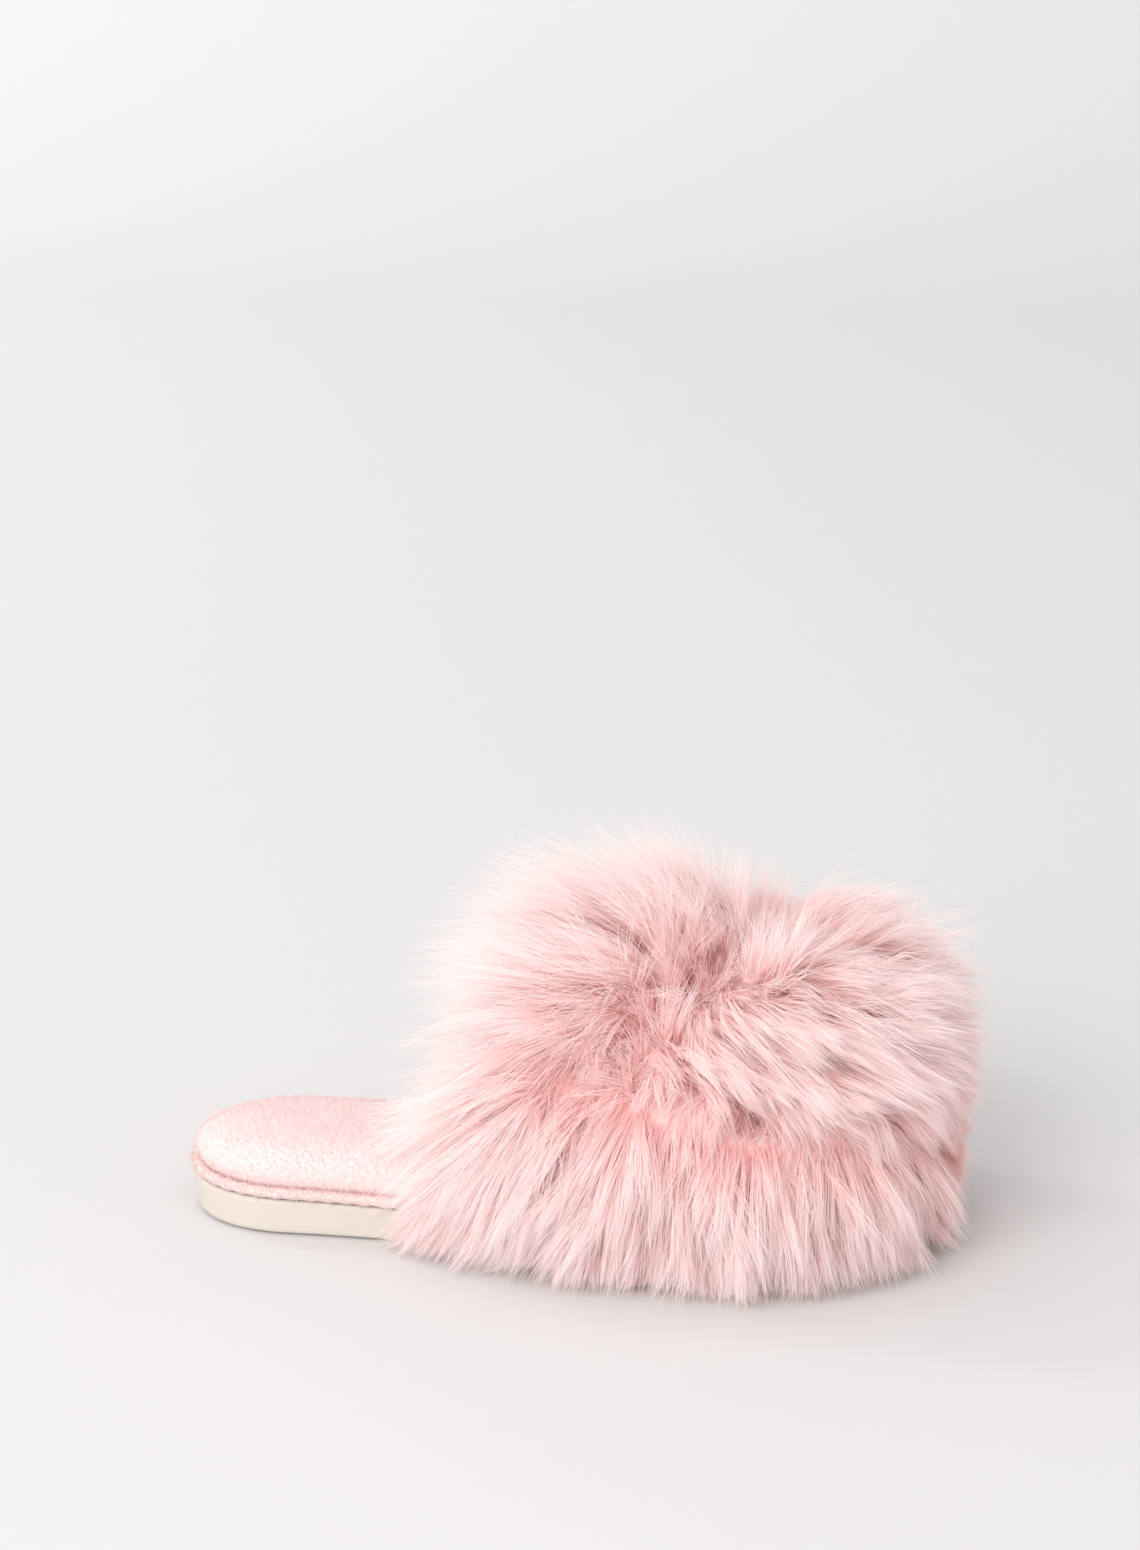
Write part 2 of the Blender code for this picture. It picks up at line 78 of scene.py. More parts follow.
def table_value(rows, column, share):
    """A smooth curve through one column of a table, read at shares of the length."""
    at, values = rows[:, 0], rows[:, column]
    slopes = np.gradient(values, at)
    share = np.clip(share, at[0], at[-1])
    i = np.clip(np.searchsorted(at, share, side="right"), 1, len(at) - 1) - 1
    span = at[i + 1] - at[i]
    t = (share - at[i]) / span
    start = (1 + 2 * t) * (1 - t) ** 2 * values[i] + t * (1 - t) ** 2 * span * slopes[i]
    end = t * t * (3 - 2 * t) * values[i + 1] - t * t * (1 - t) * span * slopes[i + 1]
    return start + end


def rounding(distance, length, fullness):
    t = np.clip(1 - distance / length, 0.0, 1.0)
    return (1 - t**fullness) ** (1 / fullness)


def outline_point(share, side, out, end):
    """A point of the sole's outline, moved out sideways and past its ends."""
    along = share * SOLE_LENGTH
    width = np.where(side < 0, table_value(OUTLINE, 1, share), table_value(OUTLINE, 2, share))
    width = width * rounding(along, HEEL_ROUND, HEEL_FULLNESS)
    width = width * rounding(SOLE_LENGTH - along, TOE_ROUND, TOE_FULLNESS)
    x = (share - 0.5) * SOLE_LENGTH * (1 + end / (SOLE_LENGTH / 2))
    return x, side * width * (1 + out / (BALL_WIDTH / 2))


def sole_bottom(share):
    toe = np.maximum(share - SPRING_STARTS, 0.0) / (1 - SPRING_STARTS)
    heel = np.maximum(HEEL_FLAT_STARTS - share, 0.0) / HEEL_FLAT_STARTS
    return TOE_SPRING * toe**2 + HEEL_LIFT * heel**2


def sole_top(share):
    return sole_bottom(share) + table_value(SOLE_THICKNESS, 1, share)


def stations(count):
    return (1 - np.cos(np.linspace(0.0, math.pi, count + 1))) / 2


def new_object(name, mesh, material):
    mesh.materials.append(material)
    obj = bpy.data.objects.new(name, mesh)
    bpy.context.scene.collection.objects.link(obj)
    return obj


def mesh_from(name, points, faces):
    mesh = bpy.data.meshes.new(name)
    mesh.from_pydata(points.tolist(), [], faces)
    mesh.validate()
    mesh.shade_smooth()
    return mesh


def stacked_rings(name, share, rings):
    """A closed solid from rings round the outline: each is an inset, one at the ends and heights."""
    outer = [np.stack((*outline_point(share, -1, -side, -end), z), axis=1) for side, end, z in rings]
    inner = [np.stack((*outline_point(share, 1, -side, -end), z), axis=1) for side, end, z in rings]
    grid = np.stack(outer + inner[::-1], axis=1)
    rows, columns = grid.shape[:2]
    index = np.arange(rows * columns).reshape(rows, columns)
    for end in (0, rows - 1):
        index[end, columns // 2 :] = index[end, : columns // 2][::-1]
    low, high = index[:-1], index[1:]
    quads = np.stack((low, np.roll(low, -1, 1), np.roll(high, -1, 1), high), axis=2).reshape(-1, 4)
    faces = [list(dict.fromkeys(quad)) for quad in quads.tolist()]
    return mesh_from(name, grid.reshape(-1, 3), [face[::-1] for face in faces if len(face) > 2])


def shader(name, colour, roughness, **settings):
    """A new material and its shader, with the settings that differ from the default."""
    material = bpy.data.materials.new(name)
    material.use_nodes = True
    node = material.node_tree.nodes["Principled BSDF"]
    node.inputs["Base Color"].default_value = (*colour, 1.0)
    node.inputs["Roughness"].default_value = roughness
    for socket, value in settings.items():
        node.inputs[socket.replace("_", " ")].default_value = value
    return material, node


def grain(material, node, scale, strength, depth):
    """Fine surface relief from a noise in the object's own coordinates."""
    nodes, links = material.node_tree.nodes, material.node_tree.links
    place = nodes.new("ShaderNodeTexCoord")
    noise = nodes.new("ShaderNodeTexNoise")
    noise.inputs["Scale"].default_value = scale
    noise.inputs["Detail"].default_value = 4.0
    bump = nodes.new("ShaderNodeBump")
    bump.inputs["Strength"].default_value = strength
    bump.inputs["Distance"].default_value = depth
    links.new(place.outputs["Object"], noise.inputs["Vector"])
    links.new(noise.outputs["Fac"], bump.inputs["Height"])
    links.new(bump.outputs["Normal"], node.inputs["Normal"])


RIB_PITCH = 0.009
RIB_DEPTH = 0.0006
SOLE_STATIONS = 220
CREAM = (0.635, 0.575, 0.515)
sole_share = stations(SOLE_STATIONS)
sole_low = sole_bottom(sole_share)
sole_high = sole_top(sole_share)
ribs = RIB_DEPTH * (0.5 + 0.5 * np.sin(2 * math.pi * sole_share * SOLE_LENGTH / RIB_PITCH))
# distance in from the outline, height
sole_rings = (
    (0.0090, sole_low + ribs),
    (0.0075, sole_low),
    (0.0054, sole_low),
    (0.0050, sole_low + 0.0008),
    (0.0014, sole_low + 0.0011),
    (0.0010, sole_low + 0.0015),
    (0.0009, sole_low + 0.0026),
    (0.0001, sole_high - 0.0024),
    (0.0000, sole_high - 0.0012),
    (0.0004, sole_high - 0.0003),
    (0.0012, sole_high),
)
cream, cream_node = shader("cream_sole", CREAM, roughness=0.52, Specular_IOR_Level=0.35)
grain(cream, cream_node, scale=900.0, strength=0.08, depth=0.0002)
sole_rings = [(inset, inset, height) for inset, height in sole_rings]
outsole = new_object("sole_unit", stacked_rings("sole_unit", sole_share, sole_rings), cream)
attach(outsole, "root")
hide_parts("outsole")


# Piping
# A cord wrapped in the footbed's plush and sewn on round the rim. It lies on the sole's
# top edge, stands a little proud of it, and its cover is drawn into a slight twist.
PIPING_RADIUS = 0.0024
GAP = 0.0003
PIPING_SET_BACK = 0.0014  # it lies this far in from the sole's rim at the heel and the toe
PIPING_TURN = 0.0062  # length of one twist of the cover
TWIST_RELIEF = 0.09  # share of the radius that the twist rises and falls
CORD_ROOM = 0.0005  # the cord stays this far below the tips of its pile
ROUTE_STATIONS = 160
PIPING_STEPS = 560
PIPING_SIDES = 12
CORD_PINK = (0.78, 0.61, 0.59)
CORD_PILE_PINK = (0.86, 0.68, 0.66)


def piping_route():
    share = stations(ROUTE_STATIONS)
    outer = np.stack((*outline_point(share, -1, 0.0, -PIPING_SET_BACK), sole_top(share)), axis=1)
    inner = np.stack((*outline_point(share, 1, 0.0, -PIPING_SET_BACK), sole_top(share)), axis=1)
    loop = np.concatenate((outer, inner[-2::-1]))
    loop[:, 2] += PIPING_RADIUS + GAP
    run = np.concatenate(((0.0,), np.cumsum(np.linalg.norm(np.diff(loop, axis=0), axis=1))))
    at = np.linspace(0.0, run[-1], PIPING_STEPS, endpoint=False)
    return np.stack([np.interp(at, run, loop[:, i]) for i in range(3)], axis=1), at


def unit(vectors):
    return vectors / np.maximum(np.linalg.norm(vectors, axis=-1, keepdims=True), 1e-12)


def piping_mesh():
    route, at = piping_route()
    ahead = unit(np.roll(route, -1, 0) - np.roll(route, 1, 0))
    out = unit(np.cross(ahead, (0.0, 0.0, 1.0)))
    up = np.cross(out, ahead)
    turn = np.linspace(0.0, 2 * math.pi, PIPING_SIDES, endpoint=False)
    twist = np.sin(2 * turn[None, :] + 2 * math.pi * at[:, None] / PIPING_TURN)
    radius = (PIPING_RADIUS - CORD_ROOM) * (1 + TWIST_RELIEF * twist)[..., None]
    spoke = np.cos(turn)[None, :, None] * out[:, None] + np.sin(turn)[None, :, None] * up[:, None]
    points = route[:, None] + radius * spoke
    index = np.arange(PIPING_STEPS * PIPING_SIDES).reshape(PIPING_STEPS, PIPING_SIDES)
    ahead_index = np.roll(index, -1, 0)
    corners = (index, ahead_index, np.roll(ahead_index, -1, 1), np.roll(index, -1, 1))
    quads = np.stack(corners, axis=2)
    return mesh_from("piping_roll", points.reshape(-1, 3), quads.reshape(-1, 4).tolist())


def pile_look(name, colour, share):
    """A plush whose thin hairs pass a share of the light on."""
    material, node = shader(name, colour, roughness=0.95, Sheen_Weight=0.4)
    nodes, links = material.node_tree.nodes, material.node_tree.links
    through = nodes.new("ShaderNodeBsdfTranslucent")
    through.inputs["Color"].default_value = (*colour, 1.0)
    mix = nodes.new("ShaderNodeMixShader")
    mix.inputs["Fac"].default_value = share
    links.new(node.outputs["BSDF"], mix.inputs[1])
    links.new(through.outputs["BSDF"], mix.inputs[2])
    links.new(mix.outputs["Shader"], nodes["Material Output"].inputs["Surface"])
    return material


def blade(name, width, length, material):
    """One short hair of plush: a bent, tapered strip."""
    points = np.array(
        (
            (-width / 2, 0.0, 0.0),
            (width / 2, 0.0, 0.0),
            (width * 0.4, length * 0.1, length * 0.55),
            (-width * 0.4, length * 0.1, length * 0.55),
            (0.0, length * 0.42, length),
        )
    )
    return new_object(name, mesh_from(name, points, [(0, 1, 2, 3), (3, 2, 4)]), material)


def plush_pile(name, base, hair, material, density, lean, least_up, seed):
    """Short pile grown by nodes where a surface looks up enough, with its copies made real."""
    tree = bpy.data.node_groups.new(name, "GeometryNodeTree")
    tree.interface.new_socket("Surface", in_out="INPUT", socket_type="NodeSocketGeometry")
    amount = tree.interface.new_socket("Density", in_out="INPUT", socket_type="NodeSocketFloat")
    tilt = tree.interface.new_socket("Lean", in_out="INPUT", socket_type="NodeSocketFloat")
    facing = tree.interface.new_socket("Least Up", in_out="INPUT", socket_type="NodeSocketFloat")
    draw = tree.interface.new_socket("Seed", in_out="INPUT", socket_type="NodeSocketInt")
    tree.interface.new_socket("Pile", in_out="OUTPUT", socket_type="NodeSocketGeometry")
    given = tree.nodes.new("NodeGroupInput")
    result = tree.nodes.new("NodeGroupOutput")
    scatter = tree.nodes.new("GeometryNodeDistributePointsOnFaces")
    normal = tree.nodes.new("GeometryNodeInputNormal")
    split = tree.nodes.new("ShaderNodeSeparateXYZ")
    looks_up = tree.nodes.new("ShaderNodeMath")
    looks_up.operation = "GREATER_THAN"
    source = tree.nodes.new("GeometryNodeObjectInfo")
    source.inputs["Object"].default_value = hair
    place = tree.nodes.new("GeometryNodeInstanceOnPoints")
    sway = tree.nodes.new("FunctionNodeRandomValue")
    sway.data_type = "FLOAT_VECTOR"
    most = (1.0, 1.0, 3.2)  # turns about each axis at a lean of one
    low = tree.nodes.new("ShaderNodeVectorMath")
    low.operation = "SCALE"
    low.inputs[0].default_value = [-turned for turned in most]
    high = tree.nodes.new("ShaderNodeVectorMath")
    high.operation = "SCALE"
    high.inputs[0].default_value = most
    turn = tree.nodes.new("GeometryNodeRotateInstances")
    size = tree.nodes.new("FunctionNodeRandomValue")
    size.data_type = "FLOAT"
    shortest, longest = 0.65, 1.15
    size.inputs[2].default_value = shortest
    size.inputs[3].default_value = longest
    real = tree.nodes.new("GeometryNodeRealizeInstances")
    finish = tree.nodes.new("GeometryNodeSetMaterial")
    finish.inputs["Material"].default_value = material
    links = tree.links
    links.new(given.outputs["Surface"], scatter.inputs["Mesh"])
    links.new(given.outputs["Density"], scatter.inputs["Density"])
    links.new(normal.outputs["Normal"], split.inputs["Vector"])
    links.new(split.outputs["Z"], looks_up.inputs[0])
    links.new(given.outputs["Least Up"], looks_up.inputs[1])
    links.new(looks_up.outputs["Value"], scatter.inputs["Selection"])
    links.new(given.outputs["Seed"], scatter.inputs["Seed"])
    links.new(scatter.outputs["Points"], place.inputs["Points"])
    links.new(scatter.outputs["Rotation"], place.inputs["Rotation"])
    links.new(source.outputs["Geometry"], place.inputs["Instance"])
    links.new(size.outputs[1], place.inputs["Scale"])
    links.new(given.outputs["Lean"], low.inputs["Scale"])
    links.new(given.outputs["Lean"], high.inputs["Scale"])
    links.new(low.outputs["Vector"], sway.inputs[0])
    links.new(high.outputs["Vector"], sway.inputs[1])
    links.new(given.outputs["Seed"], sway.inputs["Seed"])
    links.new(given.outputs["Seed"], size.inputs["Seed"])
    links.new(place.outputs["Instances"], turn.inputs["Instances"])
    links.new(sway.outputs[0], turn.inputs["Rotation"])
    links.new(turn.outputs["Instances"], real.inputs["Geometry"])
    links.new(real.outputs["Geometry"], finish.inputs["Geometry"])
    links.new(finish.outputs["Geometry"], result.inputs["Pile"])
    grow = base.modifiers.new(name, "NODES")
    grow.node_group = tree
    grow[amount.identifier] = density
    grow[tilt.identifier] = lean
    grow[facing.identifier] = least_up
    grow[draw.identifier] = seed
    graph = bpy.context.evaluated_depsgraph_get()
    mesh = bpy.data.meshes.new_from_object(base.evaluated_get(graph))
    mesh.name = name
    base.modifiers.remove(grow)
    bpy.data.objects.remove(hair)
    pile = bpy.data.objects.new(name, mesh)
    bpy.context.scene.collection.objects.link(pile)
    return pile


cord_plush, cord_node = shader("piping_plush", CORD_PINK, roughness=0.9, Sheen_Weight=0.3)
grain(cord_plush, cord_node, scale=1400.0, strength=0.5, depth=0.0004)
piping = new_object("piping_roll", piping_mesh(), cord_plush)
cord_pile = pile_look("piping_pile", CORD_PILE_PINK, share=0.5)
cord_hair = blade("cord_hair", width=0.00024, length=0.0018, material=cord_pile)
piping_pile = plush_pile(
    "piping_pile", piping, cord_hair, cord_pile, density=2.8e6, lean=0.45, least_up=-0.5, seed=3
)
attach(piping, "root")
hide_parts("piping")
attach(piping_pile, "root")


# Footbed
# A soft pad in a cover of pale plush, plump at the heel and flatter under the toes. The
# cover is pulled down into the piping all round, and the pile hides its edge.
FOOTBED_EDGE = 0.0044  # height of the pad that stays the same along the foot
PILE_ROOM = 0.0011  # the pad stays this far below the tips of its pile
PILE_ROOM_RISE = 0.006  # height above the edge at which that room is full
HEEL_BULGE = 0.0016  # the pad bulges this far out over the piping at its ends
BULGE_RISE = 0.007  # height above the edge at which the bulge is full
FOOTBED_STATIONS = 120
FOOTBED_STEPS = 26
PLUSH_PINK = (0.80, 0.64, 0.63)
PLUSH_PILE_PINK = (0.88, 0.73, 0.72)
# distance in from the outline, height above the sole
FOOTBED_RINGS = np.array(
    (
        (0.0036, 0.0003),
        (0.0030, 0.0034),
        (0.0023, 0.0050),
        (0.0021, 0.0072),
        (0.0022, 0.0100),
        (0.0031, 0.0134),
        (0.0056, 0.0165),
        (0.0110, 0.0196),
        (0.0190, 0.0214),
        (0.0290, 0.0220),
        (0.0380, 0.0221),
    )
)
# share of the length, share of the full crown
FOOTBED_CROWN = np.array(((0.00, 0.86), (0.20, 0.87), (0.45, 0.735), (0.70, 0.43), (1.00, 0.34)))


def footbed_mesh():
    share = stations(FOOTBED_STATIONS)
    crown = table_value(FOOTBED_CROWN, 1, share)
    steps = np.column_stack((np.arange(len(FOOTBED_RINGS), dtype=float), FOOTBED_RINGS))
    at = np.linspace(0.0, len(FOOTBED_RINGS) - 1.0, FOOTBED_STEPS)
    rings = []
    for inset, height in zip(table_value(steps, 1, at), table_value(steps, 2, at)):
        rise = max(height - FOOTBED_EDGE, 0.0)
        shrink = PILE_ROOM * min(rise / PILE_ROOM_RISE, 1.0)
        end = inset - HEEL_BULGE * min(rise / BULGE_RISE, 1.0)
        heights = sole_top(share) + min(height, FOOTBED_EDGE) + rise * crown - shrink
        rings.append((inset, end, heights))
    return stacked_rings("padded_footbed", share, rings)


plush, plush_node = shader("pink_plush", PLUSH_PINK, roughness=0.95, Sheen_Weight=0.4)
grain(plush, plush_node, scale=700.0, strength=0.15, depth=0.0004)
footbed = new_object("padded_footbed", footbed_mesh(), plush)
plush_pile_look = pile_look("footbed_pile", PLUSH_PILE_PINK, share=0.5)
plush_hair = blade("plush_hair", width=0.00022, length=0.0016, material=plush_pile_look)
footbed_pile = plush_pile(
    "footbed_pile", footbed, plush_hair, plush_pile_look, density=1.9e6, lean=0.30, least_up=-0.3, seed=5
)
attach(footbed, "root")
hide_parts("footbed")
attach(footbed_pile, "root")


# Vamp
# The hollow upper, lasted over the forefoot and set down on the piping: a fabric wall
# with a short pink plush lining, seen only through the open collar.
VAMP_WALL = 0.003
COLLAR_BASE_X = -0.036
COLLAR_RIDGE_X = 0.016
RIDGE_INWARD = 0.004
TOE_CAP_STARTS = 0.060
TOE_BLUNTNESS = 3.0
COLLAR_BEND = 1.3  # how late the collar swings from the hem's place to the ridge's
LINING_PINK = (0.93, 0.68, 0.665)
# share of the length, height of the ridge, fullness of the arch
VAMP_RIDGE = np.array(
    (
        (0.50, 0.0920, 2.10),
        (0.62, 0.0900, 2.15),
        (0.74, 0.0830, 2.25),
        (0.86, 0.0740, 2.40),
        (1.00, 0.0620, 2.60),
    )
)


def vamp_surface(u, angle, out, rise, ridge=VAMP_RIDGE, end=None, drop=0.0):
    """Points of a vamp surface: u from collar to toe, angle from the outer hem over the ridge."""
    end = out if end is None else end
    along = np.sin(u * math.pi / 2)
    base_share = COLLAR_BASE_X / SOLE_LENGTH + 0.5
    base_share = base_share + (1 - base_share) * along
    ridge_share = COLLAR_RIDGE_X / SOLE_LENGTH + 0.5
    ridge_share = ridge_share + (1 - ridge_share) * along
    side = np.where(angle < math.pi / 2, -1.0, 1.0)
    power = 2 / table_value(ridge, 2, ridge_share)
    across = np.abs(np.cos(angle)) ** power
    lift = np.maximum(np.sin(angle), 0.0) ** power
    base_x, base_y = outline_point(base_share, side, out, end)
    ridge_x, _ = outline_point(ridge_share, side, out, end)
    stand = 2 * PIPING_RADIUS + 2 * GAP
    low = sole_top(base_share) + stand - drop
    ridge_low = sole_top(ridge_share) + stand
    cap = SOLE_LENGTH / 2 - TOE_CAP_STARTS
    closing = rounding((1 - ridge_share) * SOLE_LENGTH, cap, TOE_BLUNTNESS)
    high = ridge_low + (table_value(ridge, 1, ridge_share) + rise - ridge_low) * closing
    lean = RIDGE_INWARD * rounding(1 - along, 1.0, 2.0) * lift
    x = base_x + (ridge_x - base_x) * lift**COLLAR_BEND
    return np.stack((x, base_y * across + lean, low + (high - low) * lift), axis=-1)


def arch_grid(rows, columns):
    return np.meshgrid(np.linspace(0, 1, rows), np.linspace(0, math.pi, columns), indexing="ij")


def shell_mesh(name, outer, inner):
    """A closed wall between two grids of points."""
    rows, columns = outer.shape[:2]
    over = np.arange(rows * columns).reshape(rows, columns)
    under = over + rows * columns
    over[-1], under[-1] = over[-1, 0], under[-1, 0]

    def strip(a, b, c, d):
        return np.stack((a, b, c, d), axis=-1).reshape(-1, 4)

    quads = np.concatenate(
        (
            strip(over[:-1, :-1], over[1:, :-1], over[1:, 1:], over[:-1, 1:]),
            strip(under[:-1, :-1], under[:-1, 1:], under[1:, 1:], under[1:, :-1]),
            strip(over[:-1, 0], under[:-1, 0], under[1:, 0], over[1:, 0]),
            strip(over[:-1, -1], over[1:, -1], under[1:, -1], under[:-1, -1]),
            strip(over[0, :-1], over[0, 1:], under[0, 1:], under[0, :-1]),
        )
    )
    faces = [list(dict.fromkeys(quad)) for quad in quads.tolist()]
    points = np.concatenate((outer.reshape(-1, 3), inner.reshape(-1, 3)))
    return mesh_from(name, points, [face for face in faces if len(face) > 2])


def inner_face(name, grid):
    """The side of a wall that faces the foot, as a sheet."""
    rows, columns = grid.shape[:2]
    index = np.arange(rows * columns).reshape(rows, columns)
    quads = np.stack((index[:-1, :-1], index[:-1, 1:], index[1:, 1:], index[1:, :-1]), axis=-1)
    return mesh_from(name, grid.reshape(-1, 3), quads.reshape(-1, 4).tolist())


lining, lining_node = shader("pink_lining", LINING_PINK, roughness=0.95, Sheen_Weight=0.4)
grain(lining, lining_node, scale=800.0, strength=0.5, depth=0.0006)
vamp_u, vamp_angle = arch_grid(rows=40, columns=49)
vamp_outer = vamp_surface(vamp_u, vamp_angle, PIPING_RADIUS, 0.0)
vamp_inner = vamp_surface(vamp_u, vamp_angle, PIPING_RADIUS - VAMP_WALL, -VAMP_WALL)
vamp = new_object("vamp_wall", shell_mesh("vamp_wall", vamp_outer, vamp_inner), lining)
lining_hair = blade("lining_hair", width=0.00040, length=0.0022, material=lining)
inside = new_object("inside", inner_face("inside", vamp_inner), lining)
lining_pile = plush_pile(
    "lining_pile", inside, lining_hair, lining, density=5.0e5, lean=0.6, least_up=-1.1, seed=7
)
bpy.data.objects.remove(inside)
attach(vamp, "root")
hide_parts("vamp")
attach(lining_pile, "root")


# Fur undercoat
# The dense short hair next to the backing, in the lobes that the fur is parted into. It
# fills about half of the fur's depth, so that no backing shows where the long hair parts.
UNDERCOAT = 0.58  # share of the fur's depth
UNDERCOAT_AT_HEM = 0.35  # share of that at the hem
UNDERCOAT_AT_COLLAR = 0.30  # and along the collar
UNDERCOAT_RUN = 0.3  # share of the side, and of the way to the toe, over which it thickens
# painted shade: the undercoat is a deeper pink than the long hair, so the depths of the fur read as
# shaded
UNDERCOAT_SHADE_PINK = (0.88, 0.62, 0.61)
FUR_OUT = 0.029  # how far the fur stands out from the sole's outline at the sides
FUR_END = 0.016  # and at the toe
FUR_DROP = 0.010  # how far it hangs below the piping
# share of the length, height of the ridge, fullness of the arch
FUR_RIDGE = np.array(
    (
        (0.50, 0.1250, 2.40),
        (0.62, 0.1300, 2.45),
        (0.72, 0.1270, 2.55),
        (0.86, 0.1190, 2.65),
        (1.00, 0.1130, 2.70),
    )
)
# parting of the fur on the unrolled side: x and lift at both ends, width, share of depth lost
CREASES = (
    (0.086, 1.00, 0.022, 0.45, 0.011, 0.56),
    (0.022, 0.45, 0.080, 0.37, 0.010, 0.42),
    (0.080, 0.37, 0.132, 0.48, 0.009, 0.34),
)
SIDE_ARC = 0.105  # length of the side from hem to ridge, unrolled
LEAST_DEPTH = 0.3  # share of the depth that is left where creases meet


def lift_of(angle):
    return 1 - np.abs(angle - math.pi / 2) / (math.pi / 2)


def crease_left(x, lift):
    """Share of the fur's depth that is left at a place on the unrolled side."""
    place = np.stack((x, lift * SIDE_ARC), axis=-1)
    left = np.ones_like(x)
    for x0, lift0, x1, lift1, width, depth in CREASES:
        start = np.array((x0, lift0 * SIDE_ARC))
        run = np.array((x1, lift1 * SIDE_ARC)) - start
        t = np.clip((place - start) @ run / (run @ run), 0.0, 1.0)
        away = np.linalg.norm(place - start - t[..., None] * run, axis=-1)
        left = left - depth * np.exp(-((away / width) ** 2))
    return np.maximum(left, LEAST_DEPTH)


def smooth_step(value, low, high):
    t = np.clip((value - low) / (high - low), 0.0, 1.0)
    return t * t * (3 - 2 * t)


def fur_backing(u, angle):
    return vamp_surface(u, angle, PIPING_RADIUS + GAP, GAP)


def fur_body(u, angle):
    return vamp_surface(u, angle, FUR_OUT, 0.0, FUR_RIDGE, FUR_END, FUR_DROP)


def undercoat_surface(u, angle):
    """The lobed top of the undercoat; it thins towards the hem and the collar."""
    backing, body = fur_backing(u, angle), fur_body(u, angle)
    lift = lift_of(angle)
    share = UNDERCOAT * crease_left(body[..., 0], lift)
    share = share * (UNDERCOAT_AT_HEM + (1 - UNDERCOAT_AT_HEM) * smooth_step(lift, 0.0, UNDERCOAT_RUN))
    share = share * (UNDERCOAT_AT_COLLAR + (1 - UNDERCOAT_AT_COLLAR) * smooth_step(u, 0.0, UNDERCOAT_RUN))
    return backing + (body - backing) * share[..., None]


def fur_frame(u, angle):
    """Directions on the fur's form: to the toe, down to the hem and outwards."""
    step = 0.004
    low = np.clip(u, 0.0, 1.0 - 2 * step)
    toe = unit(fur_body(low + step, angle) - fur_body(low, angle))
    bent = np.clip(angle, step, math.pi - step)
    over = unit(fur_body(low, bent + step) - fur_body(low, bent - step))
    outward = unit(np.cross(toe, over))
    down = np.where((angle < math.pi / 2)[..., None], -over, over)
    return toe, down, outward


undercoat_look, undercoat_node = shader("fur_undercoat", UNDERCOAT_SHADE_PINK, roughness=0.95, Sheen_Weight=0.3)
grain(undercoat_look, undercoat_node, scale=500.0, strength=0.8, depth=0.0015)
coat_u, coat_angle = arch_grid(rows=70, columns=91)
coat_outer, coat_inner = undercoat_surface(coat_u, coat_angle), fur_backing(coat_u, coat_angle)
coat_mesh = shell_mesh("fur_undercoat", coat_outer, coat_inner)
undercoat = new_object("fur_undercoat", coat_mesh, undercoat_look)
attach(undercoat, "root")
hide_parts("fur")


# Fur
# Long silky pile in locks. It lies back over the instep, forward over the toes and down
# all round the hem, and parts along the creases between those three.
HAIRS = 118_000
SEGMENTS = 3  # straight lengths that make up a hair
HAIR_LENGTH = 0.043
HAIR_WIDTH = 0.00027
CREASE_SHADE_LENGTH = 0.043  # a hair this long reaches the palest tip; a shorter one, as in the creases and over the toe, stays deeper as painted shade
LOCKS = 820
STRANDS = 11_000
FLOOR_ROOM = 0.0012  # hairs stay this far off the floor
FLOOR_SPREAD = 0.0025  # and some up to this much further
DROOP = 0.34  # how far a hair sinks under its own weight towards its tip
WAVE = 0.0012  # how far the strands wave from side to side
LOCK_HOLD = 0.15  # how far the strands of a lock close up towards its tip
LOCK_HOLD_FRONT = 0.46
LOCK_HOLD_SKIRT = 0.25
STRAND_HOLD = (0.45, 0.88)  # how far the hairs of a strand close up, least and most
FREE_HAIRS = 0.14  # share of the hairs that belong to no strand
LOCK_SWAY = 0.23  # how far locks, the strands in them and single hairs stray from the flow
STRAND_SWAY = 0.14
HAIR_SWAY = 0.07
LOCK_GROWTH = (0.86, 1.06)  # share of the length that a lock has, least and most
REAR_LOOSER = 0.5  # the rear lobe's strands hold together this much less
CREASE_UPRIGHT = 1.9  # how quickly the hair stands up towards the middle of a crease
REAR_LONGER = 0.06  # share of the length gained on top of the rear lobe
REAR_TOP = (0.5, 0.9)  # lift where that gain starts and is full
COLLAR_LONGER = 0.48  # share of the length gained along the collar
COLLAR_LIFT = (0.08, 0.36)  # lift where that gain starts and is full
COLLAR_RUN = 0.25  # share of the way to the toe where it has ended
TOE_SHORTER = 0.62  # share of the length lost at the toe
TOE_RUN = (0.55, 0.95)  # share of the way to the toe where that loss starts and is full
CREASE_LENGTH = 0.2  # share of the length that no crease takes
LONGEST = 1.06  # share of the length that the longest hairs have
LENGTH_SPREAD = 0.50  # and how much less the shortest have
HEM_TRIM = 1.56  # length of a hair at the hem for each height of its root
WIDEST = 0.090  # half width of the fur, beyond which its hairs are brushed in
BRUSH = 0.010  # the brushing starts this far inside it
TAPER = 0.72  # share of the width lost at the tip
WIDTHS = (0.7, 1.3)  # share of the width that a hair has, least and most
ROLL = 0.6  # how far hairs turn about their own length
TONE_SPAN = 0.008  # half of a hair's width on its map
